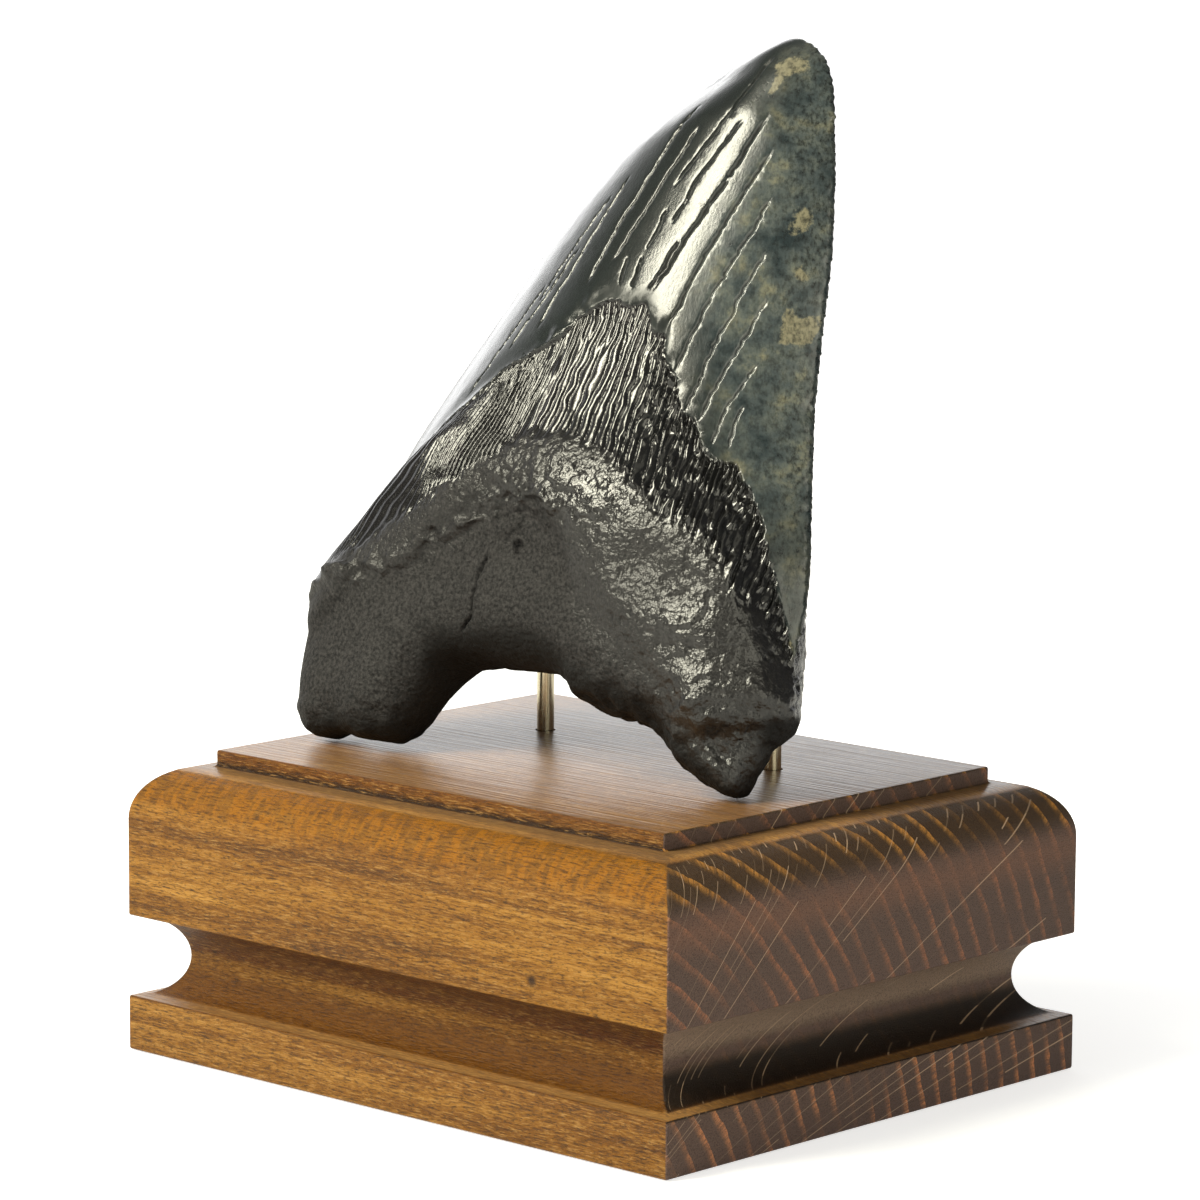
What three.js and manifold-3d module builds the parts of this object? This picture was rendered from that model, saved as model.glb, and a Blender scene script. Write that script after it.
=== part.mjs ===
// A large fossil shark tooth standing on a moulded hardwood block.
// Millimetres, +Z up. The origin is the middle of the block's underside, and the
// tooth's display face looks towards -Y.
import * as THREE from 'three';
import { mergeVertices } from 'three/addons/utils/BufferGeometryUtils.js';
import Module from 'manifold-3d';

// Block: a plinth, a half-round cove, an upright band, a rounded shoulder and a raised top
const BLOCK_WIDTH = 125;
const BLOCK_DEPTH = 103;
const PLINTH_HEIGHT = 9.5;
const COVE_RADIUS = 7;
const COVE_DEPTH = 7.5;
const BAND_TOP = 40.4;
const SHOULDER_RADIUS = 9;
const TOP_LEDGE = 1.75;
const TOP_STEP = 2.9;
const ARC_STEPS = 12;
const BLOCK_HEIGHT = BAND_TOP + SHOULDER_RADIUS + TOP_STEP;

// Pins: two upright rods in drilled holes, behind the tooth
const PIN_RADIUS = 1.5;
const PIN_LEFT_X = -25.2;
const PIN_RIGHT_X = 27.4;
const PIN_Y = 13;
const PIN_RISE = 39.9;
const PIN_SUNK = 18;
const PIN_TOP_BEVEL = 0.4;
const HOLE_CLEARANCE = 0.3;
const ROUND_SIDES = 24;

// Tooth: how it stands on the block
const TOOTH_X = -2.75;
const TOOTH_Y = -15;
const LEAN = THREE.MathUtils.degToRad(22);
const TURN = THREE.MathUtils.degToRad(1.5);
const REST_GAP = 0.3;

// Tooth: sizes of its main forms
const CROWN_TOP = 121.5;
const TIP_RISE = 8.4;
const TIP_TAPER = 16;
const ROOT_ROUNDING = 9.5;
const ROOT_BOXINESS = 2.3;
const ROOT_BACK_CURVE = 0.15;
const LOBE_DROP = 0.42;
const LOBE_DROP_CURVE = 2.2;
const LEFT_LOBE_FORWARD = 8;
const RIGHT_LOBE_FORWARD = -1;
const LOBE_CURL = 0.7;
const LOBE_CURL_TOP = 42;
const HOLLOW_DEPTH = 1.8;
const ENAMEL_STEP = 0.6;
const ENAMEL_STEP_RUN = 1.5;
const CROWN_FRONT_FULLNESS = 0.95;
const CROWN_BACK_FLATNESS = 2.4;

// Tooth: how finely its two faces are divided
const COLUMNS = 40;
const HOLLOW_ROWS = 10;
const ROOT_ROWS = 16;
const RIDGED_ROWS = 7;
const CROWN_ROWS = 21;
const RIM_STEPS = 200;
const RIM_TOP = 60;
const RIM_CROWDING = 1.6;
const TIP_CROWDING = 0.25;

const { lerp, smoothstep } = THREE.MathUtils;

// A curve through [x, y] points that keeps their rises and falls and never overshoots them
function curveThrough(points) {
  const last = points.length - 1;
  const chord = (i) => (points[i + 1][1] - points[i][1]) / (points[i + 1][0] - points[i][0]);
  const tangent = (i) => {
    if (i === 0) return chord(0);
    if (i === last) return chord(last - 1);
    const before = chord(i - 1);
    const after = chord(i);
    return before * after > 0 ? (2 * before * after) / (before + after) : 0;
  };
  return (x) => {
    const at = THREE.MathUtils.clamp(x, points[0][0], points[last][0]);
    let i = 0;
    while (i < last - 1 && at > points[i + 1][0]) i += 1;
    const span = points[i + 1][0] - points[i][0];
    const u = (at - points[i][0]) / span;
    const blend = (1 + 2 * u) * (1 - u) ** 2 * points[i][1] + (3 - 2 * u) * u ** 2 * points[i + 1][1];
    return blend + span * u * (1 - u) * ((1 - u) * tangent(i) - u * tangent(i + 1));
  };
}

// Outline of the tooth in its own plane: across from height, from the root's widest place to the tip
const leftEdge = curveThrough([
  [0, -48.4], [14, -49.6], [21, -50.2], [26, -50], [31, -49.2], [36, -48.2], [41, -47.4], [46, -46.2],
  [55, -42.6], [65, -37.8], [80, -30.2], [95, -22.4], [105, -15.6], [113, -8.9], [CROWN_TOP, 1.6],
]);
const rightEdge = curveThrough([
  [0, 52.8], [13, 52.8], [18, 51.4], [22, 50.6], [27, 50.2], [35, 49.4], [50, 45.3], [65, 41.2], [80, 38.2],
  [90, 36.6], [105, 32.8], [115, 29.6], [CROWN_TOP, 27.6],
]);

// Lines across the tooth: height from the share of the width, 0 at the left edge and 1 at the right
const rootEdge = curveThrough([
  [0, 20], [0.008, 8], [0.02, 1.5], [0.045, -2], [0.08, -2.2], [0.12, -0.8], [0.17, -1.6], [0.24, -0.4],
  [0.27, 4.4], [0.288, 10.2], [0.325, 13.8], [0.39, 15], [0.46, 15.1], [0.53, 15.6], [0.57, 14.6],
  [0.61, 12], [0.66, 10.2], [0.71, 8.9], [0.76, 8.2], [0.79, 7], [0.808, 3.8], [0.845, 2.5],
  [0.875, 1.3], [0.905, 0.7], [0.93, 0.6], [0.94, 2], [0.948, 6.5], [0.965, 10.8], [0.984, 13.2], [1, 15.5],
]);
const rootTop = curveThrough([
  [0, 25], [0.08, 31], [0.18, 43], [0.26, 50], [0.32, 53.5], [0.47, 54.9], [0.585, 52.4], [0.7, 48.2],
  [0.755, 42.5], [0.85, 38.8], [0.92, 33.3], [0.97, 24.5], [1, 17],
]);
const enamelEdge = curveThrough([
  [0, 33], [0.04, 39], [0.08, 44], [0.15, 53], [0.26, 63.6], [0.35, 68.5], [0.43, 71.5],
  [0.52, 75.2], [0.6, 77], [0.66, 73.5], [0.73, 66.5], [0.82, 58.5], [0.875, 53], [0.94, 42.7],
  [0.985, 28], [1, 22],
]);
const tipEdge = curveThrough([
  [0, CROWN_TOP], [0.25, CROWN_TOP + 0.56 * TIP_RISE], [0.6, CROWN_TOP + TIP_RISE],
  [0.82, CROWN_TOP + 0.72 * TIP_RISE], [1, CROWN_TOP],
]);

// The hollow above the arch, as a share of the root's height
const hollowShare = curveThrough([
  [0, 0.5], [0.11, 0.59], [0.31, 0.49], [0.43, 0.65], [0.55, 0.68], [0.62, 0.51], [0.68, 0.38],
  [0.77, 0.32], [0.85, 0.27], [1, 0.3],
]);

// How far the display face and the back stand out along the middle of the tooth, by height
const frontCrest = curveThrough([
  [0, 12.5], [10, 14], [20, 16], [30, 18], [40, 20.2], [47, 20.4], [55, 18.6], [70, 16], [85, 13.6],
  [100, 10.8], [115, 7.8], [CROWN_TOP + TIP_RISE, 5.4],
]);
const backCrest = curveThrough([
  [0, 7.5], [20, 9.4], [38, 10.6], [48, 10.6], [62, 8], [85, 5.6], [110, 4], [CROWN_TOP + TIP_RISE, 3],
]);

// Lumps and dents on the display face of the root: across, up, reach and height
const ROOT_LUMPS = [
  [-37, 22, 13, 1.2],
  [-14, 45, 9, 0.8],
  [7, 47, 10, 1.1],
  [24, 33, 9, 1],
  [43, 12, 9, 1.2],
  [-44, 7, 6, 0.8],
  [-29, 8, 5, 0.7],
  [34, 23, 5, -0.9],
  [1, 33.5, 3.2, -2.6],
  [-10, 22, 4, -0.8],
];

function acrossAt(share, up) {
  const level = Math.min(up, CROWN_TOP);
  return lerp(leftEdge(level), rightEdge(level), share);
}

// Height of each grid row: tight at the root's rim, with rows along the hollow's lip, the root's
// top and the enamel's edge
function heightAt(share, row) {
  if (row <= HOLLOW_ROWS) {
    return lerp(rootEdge(share), rootTop(share), hollowShare(share) * (row / HOLLOW_ROWS) ** RIM_CROWDING);
  }
  if (row <= ROOT_ROWS) {
    const above = (row - HOLLOW_ROWS) / (ROOT_ROWS - HOLLOW_ROWS);
    return lerp(rootEdge(share), rootTop(share), lerp(hollowShare(share), 1, above));
  }
  if (row <= ROOT_ROWS + RIDGED_ROWS) {
    return lerp(rootTop(share), enamelEdge(share), (row - ROOT_ROWS) / RIDGED_ROWS);
  }
  const even = (row - ROOT_ROWS - RIDGED_ROWS) / CROWN_ROWS;
  return lerp(enamelEdge(share), tipEdge(share), lerp(even, Math.sin((even * Math.PI) / 2), TIP_CROWDING));
}

// Columns crowd towards the cutting edges and the root's ends
const columnShare = (part) => 0.5 - 0.5 * Math.cos(part * Math.PI);

// The root's outline as short lines, to measure how near a point of the root is to its rim
function rootRimLines() {
  const points = [];
  for (let i = 0; i <= RIM_STEPS; i += 1) {
    const share = columnShare(i / RIM_STEPS);
    points.push(new THREE.Vector3(acrossAt(share, rootEdge(share)), rootEdge(share), 0));
  }
  for (let up = Math.ceil(rootEdge(0)); up <= RIM_TOP; up += 1) {
    points.unshift(new THREE.Vector3(leftEdge(up), up, 0));
  }
  for (let up = Math.ceil(rootEdge(1)); up <= RIM_TOP; up += 1) {
    points.push(new THREE.Vector3(rightEdge(up), up, 0));
  }
  return points.slice(1).map((point, i) => new THREE.Line3(points[i], point));
}
const rootRim = rootRimLines();

// How far the root has filled out from its rim: 0 on the rim, 1 past the rounding
function rootFullness(across, up) {
  const point = new THREE.Vector3(across, up, 0);
  const nearest = new THREE.Vector3();
  const distances = rootRim.map((line) => line.closestPointToPoint(point, true, nearest).distanceTo(point));
  const inward = Math.min(Math.min(...distances) / ROOT_ROUNDING, 1);
  return (1 - (1 - inward) ** ROOT_BOXINESS) ** (1 / ROOT_BOXINESS);
}

function rootLumps(across, up) {
  return ROOT_LUMPS.reduce((sum, [x, y, reach, height]) => {
    const near = Math.hypot(across - x, up - y) / reach;
    return sum + height * Math.exp(-near * near * 2);
  }, 0);
}

// Where the tooth's surface lies before and behind its plane at one grid point
function surfaceAt(share, row) {
  const up = heightAt(share, row);
  const across = acrossAt(share, up);
  const sideways = 2 * share - 1;
  const rootness = 1 - smoothstep(up, rootTop(share), enamelEdge(share));
  const full = rootFullness(across, up);
  const rim = lerp(LEFT_LOBE_FORWARD, RIGHT_LOBE_FORWARD, share);
  const curl = LOBE_CURL * rim * (1 - smoothstep(up, 0, LOBE_CURL_TOP));

  const lobeDrop = 1 - LOBE_DROP * Math.abs(sideways) ** LOBE_DROP_CURVE;
  const hollow = row <= HOLLOW_ROWS ? HOLLOW_DEPTH : 0;
  const rootFront = frontCrest(up) * lobeDrop + rootLumps(across, up) - hollow + curl;
  const rootBack = curl - backCrest(up) * (1 - ROOT_BACK_CURVE * sideways ** 2);

  const tip = Math.sqrt(Math.min(1, Math.max(0, tipEdge(share) - up) / TIP_TAPER));
  const lens = (1 - sideways ** 2) ** CROWN_FRONT_FULLNESS;
  const enamel = ENAMEL_STEP * smoothstep(up, enamelEdge(share), enamelEdge(share) + ENAMEL_STEP_RUN);
  const crownFront = (frontCrest(up) + enamel) * lens * tip;
  const crownBack = -backCrest(up) * (1 - Math.abs(sideways) ** CROWN_BACK_FLATNESS) * tip;

  return {
    across,
    up,
    front: lerp(crownFront, rim + (rootFront - rim) * full, rootness),
    back: lerp(crownBack, rim + (rootBack - rim) * full, rootness),
    rim: rim * rootness,
  };
}

// The tooth as one closed skin: a front and a back grid that share the outline's points
function toothGeometry() {
  const rows = ROOT_ROWS + RIDGED_ROWS + CROWN_ROWS;
  const positions = [];
  const grids = { front: [], back: [] };
  const addPoint = (across, out, up) => positions.push(across, -out, up) / 3 - 1;
  for (let row = 0; row <= rows; row += 1) {
    for (let column = 0; column <= COLUMNS; column += 1) {
      const share = columnShare(column / COLUMNS);
      const place = surfaceAt(share, row);
      const onOutline = row === 0 || row === rows || column === 0 || column === COLUMNS;
      const front = addPoint(place.across, onOutline ? place.rim : place.front, place.up);
      grids.front.push(front);
      grids.back.push(onOutline ? front : addPoint(place.across, place.back, place.up));
    }
  }
  const index = [];
  const addFace = (grid, row, column, flip) => {
    const a = grid[row * (COLUMNS + 1) + column];
    const b = grid[row * (COLUMNS + 1) + column + 1];
    const c = grid[(row + 1) * (COLUMNS + 1) + column + 1];
    const d = grid[(row + 1) * (COLUMNS + 1) + column];
    index.push(...(flip ? [a, c, b, a, d, c] : [a, b, c, a, c, d]));
  };
  for (let row = 0; row < rows; row += 1) {
    for (let column = 0; column < COLUMNS; column += 1) {
      addFace(grids.front, row, column, false);
      addFace(grids.back, row, column, true);
    }
  }
  const geometry = new THREE.BufferGeometry();
  geometry.setAttribute('position', new THREE.Float32BufferAttribute(positions, 3));
  geometry.setIndex(index);
  return geometry;
}

// Half of the block's section, mirrored: out along the plinth, the cove, the band and the shoulder
function blockSection(width) {
  const half = width / 2;
  const coveTop = PLINTH_HEIGHT + 2 * COVE_RADIUS;
  const flat = COVE_DEPTH - COVE_RADIUS;
  const shoulderIn = half - SHOULDER_RADIUS;
  const topIn = shoulderIn - TOP_LEDGE;
  const coveMiddle = PLINTH_HEIGHT + COVE_RADIUS;
  const shape = new THREE.Shape();
  shape.moveTo(-half, 0);
  shape.lineTo(half, 0);
  shape.lineTo(half, PLINTH_HEIGHT);
  shape.lineTo(half - flat, PLINTH_HEIGHT);
  shape.absarc(half - flat, coveMiddle, COVE_RADIUS, -Math.PI / 2, Math.PI / 2, true);
  shape.lineTo(half, coveTop);
  shape.lineTo(half, BAND_TOP);
  shape.absarc(shoulderIn, BAND_TOP, SHOULDER_RADIUS, 0, Math.PI / 2);
  shape.lineTo(topIn, BAND_TOP + SHOULDER_RADIUS);
  shape.lineTo(topIn, BLOCK_HEIGHT);
  shape.lineTo(-topIn, BLOCK_HEIGHT);
  shape.lineTo(-topIn, BAND_TOP + SHOULDER_RADIUS);
  shape.lineTo(-shoulderIn, BAND_TOP + SHOULDER_RADIUS);
  shape.absarc(-shoulderIn, BAND_TOP, SHOULDER_RADIUS, Math.PI / 2, Math.PI);
  shape.lineTo(-half, coveTop);
  shape.lineTo(flat - half, coveTop);
  shape.absarc(flat - half, coveMiddle, COVE_RADIUS, Math.PI / 2, -Math.PI / 2, true);
  shape.lineTo(-half, PLINTH_HEIGHT);
  return shape;
}

// A run of the moulding: the section stands upright in XZ and runs along Y
function mouldingRun(width, length) {
  const run = new THREE.ExtrudeGeometry(blockSection(width), {
    depth: length, bevelEnabled: false, curveSegments: ARC_STEPS,
  });
  return run.translate(0, 0, -length / 2).rotateX(Math.PI / 2);
}

const wasm = await Module();
wasm.setup();

function toSolid(geometry) {
  const bare = geometry.clone();
  bare.deleteAttribute('normal');
  bare.deleteAttribute('uv');
  const merged = mergeVertices(bare);
  return new wasm.Manifold(new wasm.Mesh({
    numProp: 3,
    vertProperties: new Float32Array(merged.attributes.position.array),
    triVerts: new Uint32Array(merged.index.array),
  }));
}

function toGeometry(solid) {
  const { vertProperties, triVerts } = solid.getMesh();
  const geometry = new THREE.BufferGeometry();
  geometry.setAttribute('position', new THREE.BufferAttribute(vertProperties, 3));
  geometry.setIndex(new THREE.BufferAttribute(triVerts, 1));
  return geometry;
}

// The moulding run front to back, met by the run left to right, gives mitred corners
function blockGeometry() {
  const alongY = toSolid(mouldingRun(BLOCK_WIDTH, BLOCK_DEPTH));
  const alongX = toSolid(mouldingRun(BLOCK_DEPTH, BLOCK_WIDTH).rotateZ(Math.PI / 2));
  let block = alongY.intersect(alongX);
  const depth = PIN_SUNK + HOLE_CLEARANCE;
  const radius = PIN_RADIUS + HOLE_CLEARANCE;
  for (const x of [PIN_LEFT_X, PIN_RIGHT_X]) {
    const drill = new THREE.CylinderGeometry(radius, radius, 2 * depth, ROUND_SIDES);
    drill.rotateX(Math.PI / 2).translate(x, PIN_Y, BLOCK_HEIGHT);
    block = block.subtract(toSolid(drill));
  }
  return toGeometry(block);
}

function pinGeometry() {
  const profile = [
    new THREE.Vector2(0, -PIN_SUNK),
    new THREE.Vector2(PIN_RADIUS, -PIN_SUNK),
    new THREE.Vector2(PIN_RADIUS, PIN_RISE - PIN_TOP_BEVEL),
    new THREE.Vector2(PIN_RADIUS - PIN_TOP_BEVEL, PIN_RISE),
    new THREE.Vector2(0, PIN_RISE),
  ];
  return new THREE.LatheGeometry(profile, ROUND_SIDES).rotateX(Math.PI / 2);
}

const fossil = new THREE.MeshStandardMaterial({ color: 0x262824, roughness: 0.38, metalness: 0 });
const stainedWood = new THREE.MeshStandardMaterial({ color: 0x7b4d24, roughness: 0.5, metalness: 0 });
const paleBrass = new THREE.MeshStandardMaterial({ color: 0xc8b98c, roughness: 0.25, metalness: 1 });

const group = new THREE.Group();

const block = new THREE.Mesh(blockGeometry(), stainedWood);
block.name = 'stand_block';
group.add(block);

function addPin(name, x) {
  const pin = new THREE.Mesh(pinGeometry(), paleBrass.clone());
  pin.name = name;
  pin.position.set(x, PIN_Y, BLOCK_HEIGHT);
  group.add(pin);
}
addPin('pin_left', PIN_LEFT_X);
addPin('pin_right', PIN_RIGHT_X);

// The tooth leans back, turns a little, and is set down until its lowest lobe meets the block
const tooth = new THREE.Mesh(toothGeometry(), fossil);
tooth.name = 'tooth';
tooth.rotation.set(-LEAN, 0, TURN, 'ZXY');
tooth.position.set(TOOTH_X, TOOTH_Y, 0);
tooth.updateMatrixWorld(true);
const lowest = new THREE.Box3().setFromObject(tooth, true).min.z;
tooth.position.z = BLOCK_HEIGHT + REST_GAP - lowest;
group.add(tooth);

export default group;
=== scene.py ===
# %% [markdown]
# A fossil shark tooth on a wooden stand.
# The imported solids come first: they give every piece its size and its place, in metres with Z up.
# Each piece below is modelled over its solid, gets a finish, and then takes the solid's place.

# %% Load the solids as a frame
import math

import bpy
import numpy as np
from mathutils import Matrix, Vector


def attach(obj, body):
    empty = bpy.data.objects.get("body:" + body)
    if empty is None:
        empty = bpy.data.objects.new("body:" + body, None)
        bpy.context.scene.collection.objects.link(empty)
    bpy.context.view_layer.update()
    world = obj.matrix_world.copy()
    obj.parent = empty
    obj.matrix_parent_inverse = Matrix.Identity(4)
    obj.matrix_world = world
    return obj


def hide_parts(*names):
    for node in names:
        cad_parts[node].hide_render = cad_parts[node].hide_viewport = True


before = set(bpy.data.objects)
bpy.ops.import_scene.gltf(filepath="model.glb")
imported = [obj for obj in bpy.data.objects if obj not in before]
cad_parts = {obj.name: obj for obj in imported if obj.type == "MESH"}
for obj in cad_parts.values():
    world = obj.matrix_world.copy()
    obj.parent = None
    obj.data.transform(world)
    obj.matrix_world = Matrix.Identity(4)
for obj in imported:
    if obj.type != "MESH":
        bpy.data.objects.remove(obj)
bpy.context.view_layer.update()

MM = 0.001

# %% [markdown]
# Two habits make operators safe in a script.
# An operator works on everything that is selected, so one object is selected at a time.
# A modifier is added and applied in one go, so that the mesh that is seen is the mesh that is kept.

# %% Select one object, apply one modifier
def select_alone(piece):
    bpy.ops.object.select_all(action="DESELECT")
    piece.select_set(True)
    bpy.context.view_layer.objects.active = piece


def shape_by(piece, kind, **settings):
    select_alone(piece)
    step = piece.modifiers.new(kind.title(), kind)
    for name, value in settings.items():
        setattr(step, name, value)
    bpy.ops.object.modifier_apply(modifier=step.name)
    print(piece.name, "after", kind.lower(), len(piece.data.polygons), "faces")


def edit_faces(piece, chosen):
    select_alone(piece)
    bpy.ops.object.mode_set(mode="EDIT")
    bpy.ops.mesh.select_mode(type="FACE")
    bpy.ops.mesh.select_all(action="DESELECT")
    bpy.ops.object.mode_set(mode="OBJECT")
    piece.data.polygons.foreach_set("select", chosen)
    bpy.ops.object.mode_set(mode="EDIT")


# %% [markdown]
# Finishes are built from nodes. Colours are written as they look on a screen, in hex, and one function
# turns them to the linear values that light is reckoned in.
# A second function adds a node: its sockets take numbers, hex colours, or the node or socket that feeds them.

# %% Colours and nodes
def linear(hex_colour):
    parts = [int(hex_colour[i:i + 2], 16) / 255 for i in (1, 3, 5)]
    return [c / 12.92 if c <= 0.04045 else ((c + 0.055) / 1.055) ** 2.4 for c in parts] + [1.0]


def add(tree, kind, feeds=(), stops=(), **settings):
    node = tree.nodes.new(kind)
    for name, value in settings.items():
        setattr(node, name, value)
    for key, value in dict(feeds).items():
        if isinstance(value, bpy.types.Node):
            value = next(out for out in value.outputs if out.enabled)
        if isinstance(value, bpy.types.NodeSocket):
            tree.links.new(value, node.inputs[key])
        else:
            node.inputs[key].default_value = linear(value) if isinstance(value, str) else value
    for i, (at, colour) in enumerate(stops):
        elements = node.color_ramp.elements
        stop = elements[i] if i < 2 else elements.new(at)
        stop.position, stop.color = at, linear(colour)
    return node


def new_finish(name):
    finish = bpy.data.materials.new(name)
    finish.use_nodes = True
    return finish, finish.node_tree, finish.node_tree.nodes["Principled BSDF"]


# %% [markdown]
# The photograph is a close product shot through a long lens, from the right of the tooth and a little above.
# The camera stands where the edges of the block line up with the photograph, so its lens and its place are
# plain numbers.

# %% Camera
CAMERA_AT = (0.6064, -0.6529, 0.2185)
CAMERA_TURN, CAMERA_TILT, CAMERA_ROLL = map(math.radians, (42.9, 90 - 8.87, 0.37))
LENS_MM, SENSOR_MM = 160.1, 36
lens = bpy.data.cameras.new("camera")
lens.lens, lens.sensor_width = LENS_MM, SENSOR_MM
camera = bpy.data.objects.new("camera", lens)
bpy.context.scene.collection.objects.link(camera)
camera.matrix_world = (
    Matrix.Translation(CAMERA_AT)
    @ Matrix.Rotation(CAMERA_TURN, 4, "Z")
    @ Matrix.Rotation(CAMERA_TILT, 4, "X")
    @ Matrix.Rotation(CAMERA_ROLL, 4, "Z")
)
bpy.context.scene.camera = camera
print("camera at", CAMERA_AT, "with a lens of", LENS_MM, "mm")

# %% [markdown]
# A white sweep in a studio: the floor is bright enough to lose its edges, and only the ground close to the
# block is a little darker. Lamps alone could light it, but they would then be too strong for the tooth.
# So the paper glows by itself, and the glow that the camera sees is brighter than the glow on the object.

# %% Floor
scene = bpy.context.scene
scene.view_settings.view_transform = "Standard"
FLOOR_WIDTH, FLOOR_DROP = 24, 0.0002
SHADE_FROM, SHADE_TO = 0.07, 0.2
NEAR_GLOW, FAR_GLOW, GLOW_ON_OBJECT = 0.66, 1.0, 0.18
bpy.ops.object.select_all(action="DESELECT")
bpy.ops.mesh.primitive_plane_add(size=FLOOR_WIDTH, location=(0, 0, -FLOOR_DROP))
floor = bpy.context.active_object
floor.name = "floor"
bpy.ops.object.transform_apply(location=True)
# Matt white paper shows no edge and no texture, only the soft shadow of the block
white, tree, shader = new_finish("white_paper_sweep")
shader.inputs["Base Color"].default_value = linear("#d9d9d9")
shader.inputs["Roughness"].default_value = 0.9
shader.inputs["Emission Color"].default_value = linear("#ffffff")
seen = add(tree, "ShaderNodeLightPath")
ground = add(tree, "ShaderNodeTexCoord")
outward = add(tree, "ShaderNodeVectorMath", {0: ground.outputs["Object"]}, operation="LENGTH")
paper_seen = add(tree, "ShaderNodeMapRange", {
    "Value": outward, 1: SHADE_FROM, 2: SHADE_TO, 3: NEAR_GLOW, 4: FAR_GLOW})
paper_glow = add(tree, "ShaderNodeMix", {
    0: seen.outputs["Is Camera Ray"], 2: GLOW_ON_OBJECT, 3: paper_seen}, data_type="FLOAT")
tree.links.new(paper_glow.outputs[0], shader.inputs["Emission Strength"])
floor.data.materials.append(white)
print(floor.name, FLOOR_WIDTH, "m wide")

# %% [markdown]
# The main light is a tall soft box to the left, which draws the long highlight on the crown. A dim box beside
# it widens that highlight, a broad one hangs overhead, and a fill from the right opens up the dark end of the
# block. The room has bright walls behind the stand and to its left, which the block's top and the pins mirror.
# In front it stays dim, because a glossy black surface is only black where it mirrors something dark.

# %% Soft boxes, as direction, distance, width and height in metres, and watts
SOFT_BOXES = {
    "key_box": ((-0.29, -0.70, 0.66), 1.6, (0.46, 1.15), 40),
    "halo_box": ((-0.06, -0.80, 0.60), 1.6, (0.45, 1.15), 3.0),
    "top_box": ((-0.15, 0.10, 1.0), 1.1, (0.8, 0.8), 0.6),
    "side_fill": ((0.9, -0.35, 0.3), 1.2, (0.9, 0.9), 5.0),
}
AIM = Vector((0, -0.005, 0.09))
WARM_WHITE = "#fbf7e1"
for name, (way, far, (wide, tall), watts) in SOFT_BOXES.items():
    lamp = bpy.data.lights.new(name, "AREA")
    lamp.shape, lamp.size, lamp.size_y, lamp.energy = "RECTANGLE", wide, tall, watts
    lamp.color = linear(WARM_WHITE)[:3]
    box = bpy.data.objects.new(name, lamp)
    scene.collection.objects.link(box)
    way = Vector(way).normalized()
    turned_to_aim = way.to_track_quat("Z", "Y").to_matrix().to_4x4()
    box.matrix_world = Matrix.Translation(AIM + far * way) @ turned_to_aim
print("lights", list(SOFT_BOXES))

# %% Walls of the room, as direction, how squarely a ray meets the wall's edge and its middle, and glow
WALLS = {
    "behind": ((-0.68, 0.73, 0), 0.8, 0.97, 1.35),
    "left": ((-0.8, 0.4, 0), 0.5, 0.85, 0.7),
}
ROOM_GLOW, WALL_TOP, CEILING = 0.10, 0.35, 0.65
room = bpy.data.worlds.new("studio_room")
scene.world = room
room.use_nodes = True
tree = room.node_tree
look = add(tree, "ShaderNodeTexCoord")
look_axes = add(tree, "ShaderNodeSeparateXYZ", {"Vector": look.outputs["Generated"]})
below_ceiling = add(tree, "ShaderNodeMapRange", {
    "Value": look_axes.outputs["Z"], 1: CEILING, 2: WALL_TOP, 3: 0, 4: 1})
glow = ROOM_GLOW
for way, edge, middle, strength in WALLS.values():
    toward = add(tree, "ShaderNodeVectorMath", {
        0: look.outputs["Generated"], 1: way}, operation="DOT_PRODUCT")
    wall = add(tree, "ShaderNodeMapRange", {
        "Value": toward, 1: edge, 2: middle, 3: 0, 4: strength}, interpolation_type="SMOOTHSTEP")
    glow = add(tree, "ShaderNodeMath", {0: wall, 1: below_ceiling, 2: glow}, operation="MULTIPLY_ADD")
seen = add(tree, "ShaderNodeLightPath")
shown_glow = add(tree, "ShaderNodeMix", {
    0: seen.outputs["Is Camera Ray"], 2: glow, 3: 1.0}, data_type="FLOAT")
tree.nodes["Background"].inputs["Color"].default_value = linear("#ffffff")
tree.links.new(shown_glow.outputs[0], tree.nodes["Background"].inputs["Strength"])
print("walls", list(WALLS))

# %% [markdown]
# The stand is one block of hardwood: a plinth, a cove cut round it with a round-nosed cutter, a straight
# band, a rounded shoulder and a low raised top. It could be lathed from a profile if it were round.
# On a square block the same profile is climbed instead: the top face is extruded up and scaled in, step by
# step, so every mitre at the corners comes out by itself.

# %% Profile of the block, as inset and height in millimetres
BLOCK = (125, 103)
PLINTH, COVE_RADIUS, COVE_LIP = 9.5, 7, 0.5
BAND_TOP, SHOULDER_RADIUS = 40.4, 9
TOP_LEDGE, TOP_STEP = 1.75, 2.9
COVE_STEPS, SHOULDER_STEPS = 28, 16
profile = [(COVE_LIP, PLINTH)]
for i in range(1, COVE_STEPS + 1):
    turn = math.pi * i / COVE_STEPS
    profile.append((COVE_LIP + COVE_RADIUS * math.sin(turn), PLINTH + COVE_RADIUS * (1 - math.cos(turn))))
profile += [(0, PLINTH + 2 * COVE_RADIUS), (0, BAND_TOP)]
for i in range(1, SHOULDER_STEPS + 1):
    turn = math.pi / 2 * i / SHOULDER_STEPS
    profile.append((SHOULDER_RADIUS * (1 - math.cos(turn)), BAND_TOP + SHOULDER_RADIUS * math.sin(turn)))
STEP_FOOT = BAND_TOP + SHOULDER_RADIUS
BLOCK_TOP = STEP_FOOT + TOP_STEP
profile += [(SHOULDER_RADIUS + TOP_LEDGE, STEP_FOOT), (SHOULDER_RADIUS + TOP_LEDGE, BLOCK_TOP)]
print("profile", len(profile), "steps, block top at", BLOCK_TOP, "mm")

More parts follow.
